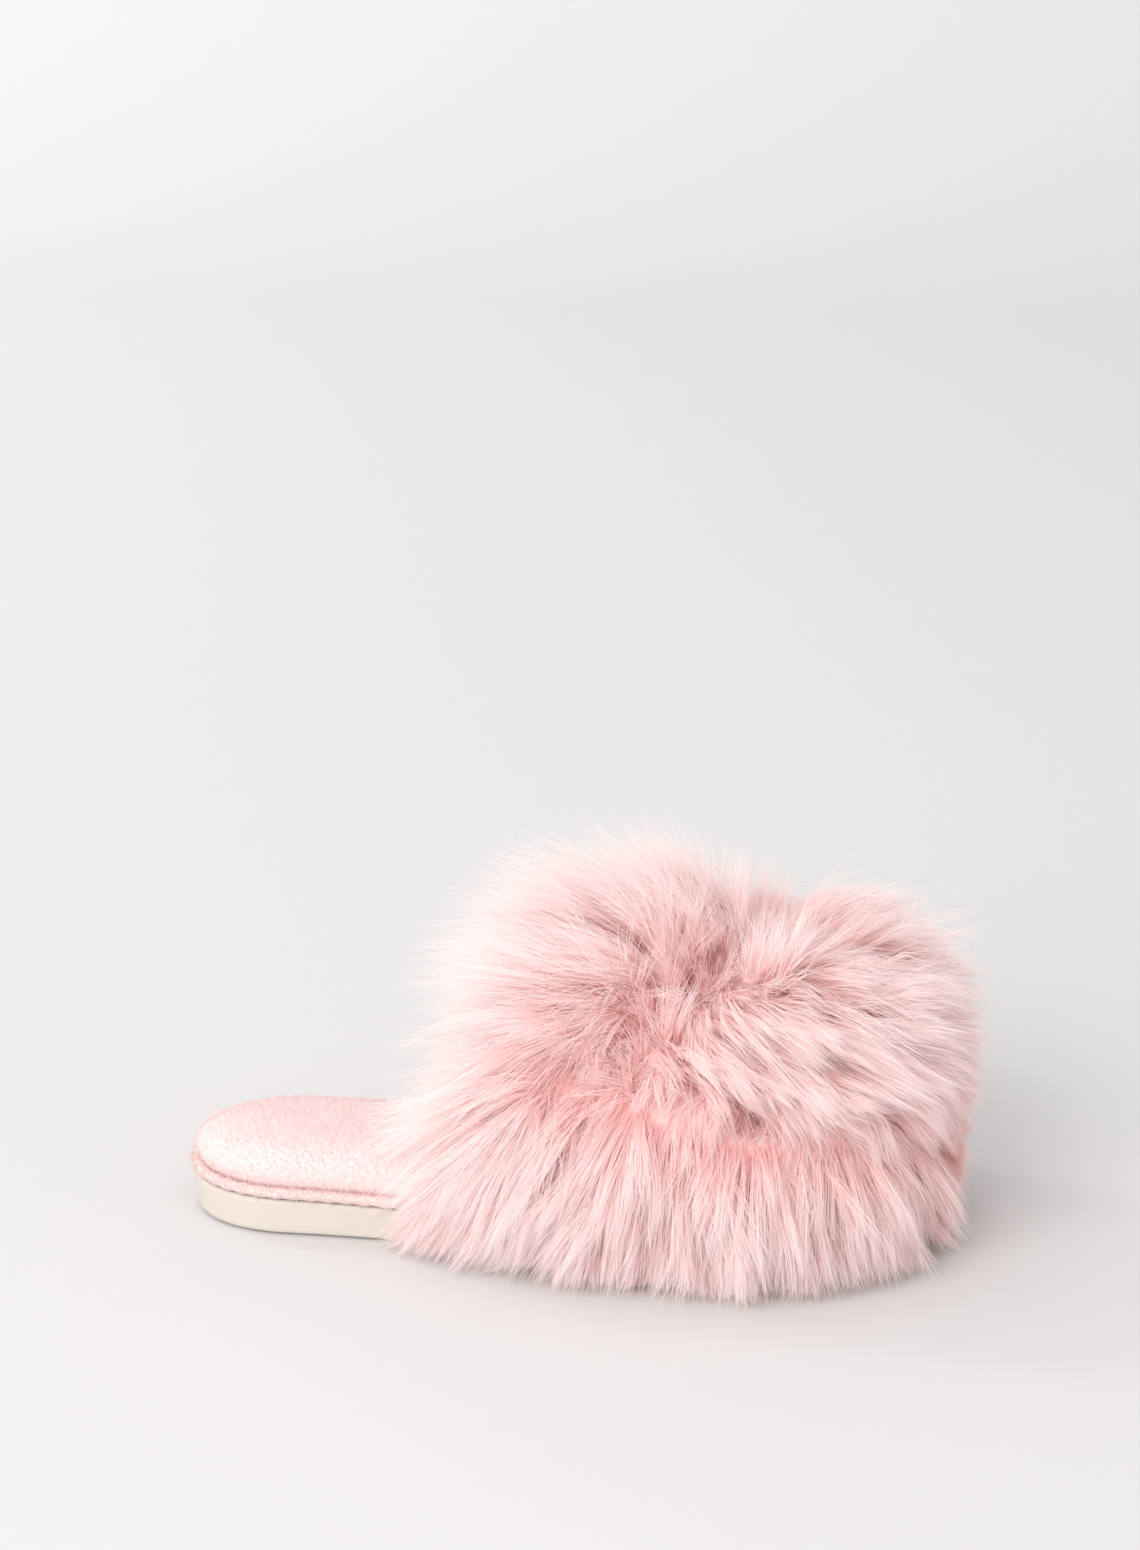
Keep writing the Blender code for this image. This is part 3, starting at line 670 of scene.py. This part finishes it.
# how the hair lies in each zone: towards the toe, down and outwards
FLOW = {
    "collar": (-1.00, 0.00, 0.44),
    "rear_top": (-0.58, 0.00, 0.90),
    "rear_side": (-0.92, 0.02, 0.44),
    "front_top": (0.50, 0.00, 0.88),
    "front_side": (0.98, 0.26, 0.36),
    "skirt": (0.00, 1.00, 0.14),
    "hem": (0.00, 0.92, 0.38),
}
TOP_LIFT = (0.45, 0.95)  # lift where the side's flow starts to change and is the top's
COLLAR_FLOW_RUN = 0.22  # share of the way to the toe where the collar's flow has ended
PARTING = 0.006  # the flow changes from lobe to lobe within this distance of a crease
SKIRT_EDGE = 0.07  # share of the side over which the front lobe gives way to the skirt
SKIRT_EDGE_REAR = 0.32  # behind the creases the change is gradual
REAR_FALL = 0.03  # how far the parting falls from the creases to the collar
REAR_FALL_RUN = 0.062  # distance over which it falls
OVERHANG = 0.14  # how much more the front lobe stands out along its lower edge
HEM_FAN = 0.26  # how far the hem's hair leans to the toe at its front
REAR_FAN = 0.75  # and to the heel at its rear corner
FAN_CENTRE = 0.045
FAN_REACH = 0.085
FUR_PINK = (0.95, 0.66, 0.64)
# painted shade and light along each hair: a deeper pink at the root for the shade inside the fur, near
# white at the lit tip
ROOT_SHADE_PINK = (1.0, 0.765, 0.75, 1.0)
MIDDLE_PINK = (1.0, 0.903, 0.895, 1.0)
TIP_LIGHT_PINK = (1.0, 0.955, 0.95, 1.0)
DEEPEST_TONE = (1.0, 0.96, 0.96, 1.0)
PALEST_TONE = (1.0, 1.0, 1.0, 1.0)
LIGHT_THROUGH = 0.58  # share of the light that a hair passes on


def lobes(x, lift):
    """Shares of the front lobe and of the skirt at a place, and how far it is below their parting."""
    top_x, _, side_x, side_lift, _, _ = CREASES[0]
    low_x, low_lift, end_x, end_lift, _, _ = CREASES[2]
    parting_x = side_x + (top_x - side_x) * (lift - side_lift) / (1 - side_lift)
    parting_lift = np.interp(x, (side_x, low_x, end_x), (side_lift, low_lift, end_lift))
    parting_lift = parting_lift - REAR_FALL * smooth_step(side_x - x, 0.0, REAR_FALL_RUN)
    front = smooth_step(x - parting_x, -PARTING, PARTING)
    soft = SKIRT_EDGE + (SKIRT_EDGE_REAR - SKIRT_EDGE) * smooth_step(side_x - x, -0.010, 0.030)
    skirt = 1 - smooth_step((lift - parting_lift) / soft, -1.0, 0.8)
    below = np.clip((parting_lift - lift) / parting_lift, -1.0, 1.0)
    return front, skirt, below


def mixed(a, b, share):
    return np.array(a) + (np.array(b) - np.array(a)) * share[:, None]


def hair_paths(u, angle, sway, length):
    """Points along hairs from root to tip, with each hair's outward direction."""
    root, lift = undercoat_surface(u, angle), lift_of(angle)
    toe, down, outward = fur_frame(u, angle)
    x = fur_body(u, angle)[:, 0]
    front, skirt, below = lobes(x, lift)
    top = smooth_step(lift, *TOP_LIFT)
    edge = 1 - smooth_step(u, 0.0, COLLAR_FLOW_RUN)
    rear_flow = mixed(FLOW["rear_side"], FLOW["rear_top"], top)
    rear_flow = rear_flow + (np.array(FLOW["collar"]) - rear_flow) * edge[:, None]
    front_flow = mixed(FLOW["front_side"], FLOW["front_top"], top)
    flow = rear_flow + (front_flow - rear_flow) * front[:, None]
    fan = np.clip((x - FAN_CENTRE) / FAN_REACH, -1.0, 1.0)
    flow[:, 2] += OVERHANG * front * np.exp(-((below / 0.35) ** 2))
    hem = mixed(FLOW["skirt"], FLOW["hem"], np.maximum(below, 0.0))
    hem[:, 0] = np.where(fan < 0, -REAR_FAN * fan**2, HEM_FAN * fan)
    flow = flow + (hem - flow) * skirt[:, None]
    parted = crease_left(x, lift)[:, None]
    lie = (toe * flow[:, :1] + down * flow[:, 1:2]) * parted**CREASE_UPRIGHT + sway
    path = [root]
    for i in range(SEGMENTS):
        t = (i + 0.5) / SEGMENTS
        heading = outward * flow[:, 2:] * (1.15 - 0.45 * t) + lie * (0.55 + 0.60 * t)
        heading[:, 2] -= DROOP * t
        path.append(path[-1] + unit(heading) * (length / SEGMENTS)[:, None])
    return np.stack(path, axis=1), outward


def random_roots(count):
    """Places on the undercoat, spread evenly over its area."""
    u, angle = arch_grid(rows=80, columns=121)
    points = undercoat_surface(u, angle)
    side_a = points[1:, :-1] - points[:-1, :-1]
    side_b = points[:-1, 1:] - points[:-1, :-1]
    area = np.linalg.norm(np.cross(side_a, side_b), axis=2).ravel()
    cell = rng.choice(area.size, count, p=area / area.sum())
    row, column = np.divmod(cell, angle.shape[1] - 1)
    u = (row + rng.random(count)) / (angle.shape[0] - 1)
    return u, (column + rng.random(count)) / (angle.shape[1] - 1) * math.pi


def nearest(centres, points):
    tree = KDTree(len(centres))
    for i, centre in enumerate(centres):
        tree.insert(centre, i)
    tree.balance()
    return np.array([tree.find(point)[1] for point in points])


def hair_length(u, angle):
    """Longest on the lobes, shorter over the toe, and trimmed along the hem to reach the floor."""
    x, z = fur_body(u, angle)[:, 0], undercoat_surface(u, angle)[:, 2]
    front, skirt, _ = lobes(x, lift_of(angle))
    full = HAIR_LENGTH * (1 + REAR_LONGER * (1 - front) * smooth_step(lift_of(angle), *REAR_TOP))
    high = smooth_step(lift_of(angle), *COLLAR_LIFT)
    full = full * (1 + COLLAR_LONGER * high * (1 - smooth_step(u, 0.0, COLLAR_RUN)))
    full = full * (1 - TOE_SHORTER * (1 - 0.5 * skirt) * smooth_step(u, *TOE_RUN))
    full = full * (CREASE_LENGTH + (1 - CREASE_LENGTH) * crease_left(x, lift_of(angle)))
    trimmed = np.minimum(full, HEM_TRIM * z)
    own = LONGEST - LENGTH_SPREAD * rng.random(len(u)) ** 1.4
    return (full + (trimmed - full) * skirt) * own


def grow_fur():
    """All hairs, drawn together into strands and the strands into locks."""
    t = np.linspace(0.0, 1.0, SEGMENTS + 1)[None, :, None]
    lock_u, lock_angle = random_roots(LOCKS)
    lock_sway = rng.normal(0.0, LOCK_SWAY, (LOCKS, 3))
    lock_growth = rng.uniform(*LOCK_GROWTH, LOCKS)
    lock_length = lock_growth * hair_length(lock_u, lock_angle)
    lock_path, _ = hair_paths(lock_u, lock_angle, lock_sway, lock_length)
    strand_u, strand_angle = random_roots(STRANDS)
    strand_lock = nearest(lock_path[:, 0], undercoat_surface(strand_u, strand_angle))
    strand_sway = lock_sway[strand_lock] + rng.normal(0.0, STRAND_SWAY, (STRANDS, 3))
    strand_length = lock_growth[strand_lock] * hair_length(strand_u, strand_angle)
    strand_path, _ = hair_paths(strand_u, strand_angle, strand_sway, strand_length)
    strand_x = fur_body(strand_u, strand_angle)[:, 0]
    strand_front, strand_skirt, _ = lobes(strand_x, lift_of(strand_angle))
    gather = LOCK_HOLD + (LOCK_HOLD_FRONT - LOCK_HOLD) * strand_front
    gather = gather + (LOCK_HOLD_SKIRT - gather) * strand_skirt
    strand_path += (lock_path[strand_lock] - strand_path) * gather[:, None, None] * t**1.4
    turn = rng.uniform(0.0, 2 * math.pi, (STRANDS, 1, 1))
    wave = rng.normal(0.0, WAVE, (STRANDS, 1, 3)) * (np.sin(turn + 2 * math.pi * t) - np.sin(turn))
    strand_path += wave * t
    u, angle = random_roots(HAIRS)
    strand = nearest(strand_path[:, 0], undercoat_surface(u, angle))
    sway = strand_sway[strand] + rng.normal(0.0, HAIR_SWAY, (HAIRS, 3))
    length = lock_growth[strand_lock[strand]] * hair_length(u, angle)
    path, outward = hair_paths(u, angle, sway, length)
    free = rng.random(HAIRS) < FREE_HAIRS
    hold = np.where(free, 0.0, rng.uniform(*STRAND_HOLD, HAIRS))
    front, skirt, _ = lobes(fur_body(u, angle)[:, 0], lift_of(angle))
    hold = hold * (1 - REAR_LOOSER * (1 - front) * (1 - skirt))
    path += (strand_path[strand] - path) * hold[:, None, None] * t**1.2
    beyond = np.maximum(np.abs(path[..., 1]) - WIDEST + BRUSH, 0.0)
    brushed = WIDEST - BRUSH * np.exp(-beyond / BRUSH)
    path[..., 1] = np.where(beyond > 0.0, np.sign(path[..., 1]) * brushed, path[..., 1])
    spread = FLOOR_SPREAD * np.linspace(1.0, 0.2, SEGMENTS + 1)
    lowest = FLOOR_ROOM + rng.random((HAIRS, 1)) * spread
    path[..., 2] = np.maximum(path[..., 2], lowest)
    return u, angle, path, outward


def ribbon_mesh(name, path, outward, tone):
    """Tapered ribbons along hairs; the map runs across by tone and up by height on the hair, which stops
    early on short hairs so that they keep a painted shade.
    """
    count = len(path)
    ahead = unit(np.gradient(path, axis=1))
    across = unit(np.cross(ahead, outward[:, None]))
    face = np.cross(across, ahead)
    roll = rng.normal(0.0, ROLL, (count, 1, 1))
    across = across * np.cos(roll) + face * np.sin(roll)
    t = np.linspace(0.0, 1.0, SEGMENTS + 1)
    width = HAIR_WIDTH * rng.uniform(*WIDTHS, (count, 1)) * (1 - TAPER * t**1.6)
    left = path - across * width[..., None] / 2
    right = path + across * width[..., None] / 2
    sides = np.stack((left[:, :-1], right[:, :-1]), axis=2).reshape(count, -1, 3)
    points = np.concatenate((sides, path[:, -1:]), axis=1)
    each = points.shape[1]
    low = 2 * np.arange(SEGMENTS - 1)
    quads = np.stack((low, low + 1, low + 3, low + 2), axis=1).ravel()
    corner = np.concatenate((quads, (each - 3, each - 2, each - 1)))
    corners = (corner[None] + each * np.arange(count)[:, None]).ravel()
    start = 4 * np.arange(SEGMENTS)
    starts = (start[None] + len(corner) * np.arange(count)[:, None]).ravel()
    mesh = bpy.data.meshes.new(name)
    mesh.vertices.add(count * each)
    mesh.vertices.foreach_set("co", points.ravel())
    mesh.loops.add(len(corners))
    mesh.loops.foreach_set("vertex_index", corners)
    mesh.polygons.add(len(starts))
    mesh.polygons.foreach_set("loop_start", starts)
    mesh.update(calc_edges=True)
    length = np.linalg.norm(np.diff(path, axis=1), axis=2).sum(axis=1)
    # short hairs climb less of the colour ramp: painted shade in the creases
    height = np.minimum(length / CREASE_SHADE_LENGTH, 1.0)[:, None] * t
    place = np.zeros((count, each, 2))
    place[:, :, 0] = tone[:, None]
    place[:, :-1:2, 0] -= TONE_SPAN
    place[:, 1:-1:2, 0] += TONE_SPAN
    place[:, :-1, 1] = np.repeat(height[:, :-1], 2, axis=1)
    place[:, -1, 1] = height[:, -1]
    layer = mesh.uv_layers.new(name="OFBake")
    layer.data.foreach_set("uv", place.reshape(-1, 2)[corners].ravel())
    mesh.validate()
    return mesh


def fur_look():
    """Pink hair with painted shade and light: deepest at its root, where the fur lies in shade, and
    palest at its tip, where it is lit, with a tone of its own.
    """
    material, node = shader("pink_fur", FUR_PINK, roughness=0.55, Sheen_Weight=0.6)
    nodes, links = material.node_tree.nodes, material.node_tree.links
    place = nodes.new("ShaderNodeUVMap")
    place.uv_map = "OFBake"
    split = nodes.new("ShaderNodeSeparateXYZ")
    length = nodes.new("ShaderNodeValToRGB")
    length.color_ramp.elements[0].position = 0.05
    length.color_ramp.elements[0].color = ROOT_SHADE_PINK
    length.color_ramp.elements[1].position = 1.0
    length.color_ramp.elements[1].color = TIP_LIGHT_PINK
    middle = length.color_ramp.elements.new(0.50)
    middle.color = MIDDLE_PINK
    tone = nodes.new("ShaderNodeValToRGB")
    tone.color_ramp.elements[0].color = DEEPEST_TONE
    tone.color_ramp.elements[1].color = PALEST_TONE
    mix = nodes.new("ShaderNodeMix")
    mix.data_type = "RGBA"
    mix.blend_type = "MULTIPLY"
    mix.inputs["Factor"].default_value = 1.0
    links.new(place.outputs["UV"], split.inputs["Vector"])
    links.new(split.outputs["Y"], length.inputs["Fac"])
    links.new(split.outputs["X"], tone.inputs["Fac"])
    links.new(length.outputs["Color"], mix.inputs[6])
    links.new(tone.outputs["Color"], mix.inputs[7])
    links.new(mix.outputs[2], node.inputs["Base Color"])
    through = nodes.new("ShaderNodeBsdfTranslucent")
    links.new(mix.outputs[2], through.inputs["Color"])
    share = nodes.new("ShaderNodeMixShader")
    share.inputs["Fac"].default_value = LIGHT_THROUGH
    links.new(node.outputs["BSDF"], share.inputs[1])
    links.new(through.outputs["BSDF"], share.inputs[2])
    links.new(share.outputs["Shader"], nodes["Material Output"].inputs["Surface"])
    return material


fur_u, fur_angle, fur_path, fur_out = grow_fur()
fur_tone = rng.uniform(0.02, 0.98, HAIRS)
in_front, in_skirt, _ = lobes(fur_body(fur_u, fur_angle)[:, 0], lift_of(fur_angle))
outer_side = fur_angle < math.pi / 2
lobe = np.where(in_skirt > 0.5, "skirt", np.where(in_front > 0.5, "front", "rear"))
pink_fur = fur_look()
for lobe_name in ("rear", "front", "skirt"):
    for side_name, on_side in (("outer", outer_side), ("inner", ~outer_side)):
        chosen = (lobe == lobe_name) & on_side
        name = f"fur_{lobe_name}_{side_name}"
        hairs = ribbon_mesh(name, fur_path[chosen], fur_out[chosen], fur_tone[chosen])
        piece = new_object(name, hairs, pink_fur)
        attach(piece, "root")


# Stage
# A pale sweep under and behind the slipper, lit softly from the upper left, seen through
# a long lens from the slipper's outer side.
SWEEP_FRONT = -2.2
SWEEP_BEND = 1.4  # where the floor starts to bend up
BEND_RADIUS = 0.7
SWEEP_TOP = 3.2
SWEEP_HALF_WIDTH = 3.0


def sweep_mesh():
    """A floor that bends up into a wall behind."""
    run = np.linspace(0.0, math.pi / 2, 24)
    floor = [(SWEEP_FRONT, 0.0), (SWEEP_BEND, 0.0)]
    bend = [(SWEEP_BEND + BEND_RADIUS * math.sin(a), BEND_RADIUS * (1 - math.cos(a))) for a in run[1:]]
    profile = np.array(floor + bend + [(SWEEP_BEND + BEND_RADIUS, SWEEP_TOP)])
    sides = (-SWEEP_HALF_WIDTH, SWEEP_HALF_WIDTH)
    points = np.array([(x, y, z) for x in sides for y, z in profile])
    count = len(profile)
    faces = [(i, i + count, i + count + 1, i + 1) for i in range(count - 1)]
    return mesh_from("sweep", points, faces)


def area_light(name, place, target, size, power, colour):
    data = bpy.data.lights.new(name, "AREA")
    data.shape = "DISK"
    data.size = size
    data.energy = power
    data.color = colour
    light = bpy.data.objects.new(name, data)
    light.location = place
    aim = Vector(target) - Vector(place)
    light.rotation_euler = aim.to_track_quat("-Z", "Y").to_euler()
    bpy.context.scene.collection.objects.link(light)


paper, _ = shader("pale_paper", (0.63, 0.62, 0.62), roughness=0.8, Specular_IOR_Level=0.2)
sweep = new_object("sweep", sweep_mesh(), paper)

KEY_PLACE, KEY_TARGET = (-0.8, -1.7, 1.3), (0.03, 0.0, 0.08)
WASH_PLACE, WASH_TARGET = (-1.6, 0.7, 1.5), (-0.7, 2.1, 1.0)
area_light("key", KEY_PLACE, KEY_TARGET, size=1.8, power=38.0, colour=(1.0, 0.99, 0.98))
area_light("wash", WASH_PLACE, WASH_TARGET, size=0.8, power=20.0, colour=(1.0, 1.0, 1.0))

world = bpy.data.worlds.new("studio")
world.use_nodes = True
world.node_tree.nodes["Background"].inputs["Color"].default_value = (1.0, 0.995, 0.99, 1.0)
world.node_tree.nodes["Background"].inputs["Strength"].default_value = 0.96
bpy.context.scene.world = world

CAMERA_AZIMUTH = math.radians(5.6)
CAMERA_ELEVATION = math.radians(19.0)
CAMERA_LENS = 105.0
CAMERA_SENSOR = 36.0
VIEW_HEIGHT = 1550 / 2850  # metres seen from top to bottom at the slipper
VIEW_RIGHT = 0.0075  # the middle of the view lies this far right of the origin
VIEW_UP = 0.1535  # and this far above it, across the line of sight
away = Vector(
    (
        math.sin(CAMERA_AZIMUTH) * math.cos(CAMERA_ELEVATION),
        -math.cos(CAMERA_AZIMUTH) * math.cos(CAMERA_ELEVATION),
        math.sin(CAMERA_ELEVATION),
    )
)
to_right = Vector((math.cos(CAMERA_AZIMUTH), math.sin(CAMERA_AZIMUTH), 0.0))
to_top = away.cross(to_right)
camera_data = bpy.data.cameras.new("camera")
camera_data.lens = CAMERA_LENS
camera_data.sensor_width = CAMERA_SENSOR
camera = bpy.data.objects.new("camera", camera_data)
middle = to_right * VIEW_RIGHT + to_top * VIEW_UP
camera.location = middle + away * (VIEW_HEIGHT * CAMERA_LENS / CAMERA_SENSOR)
camera.rotation_euler = away.to_track_quat("Z", "Y").to_euler()
bpy.context.scene.collection.objects.link(camera)
bpy.context.scene.camera = camera
bpy.context.scene.view_settings.view_transform = "Standard"
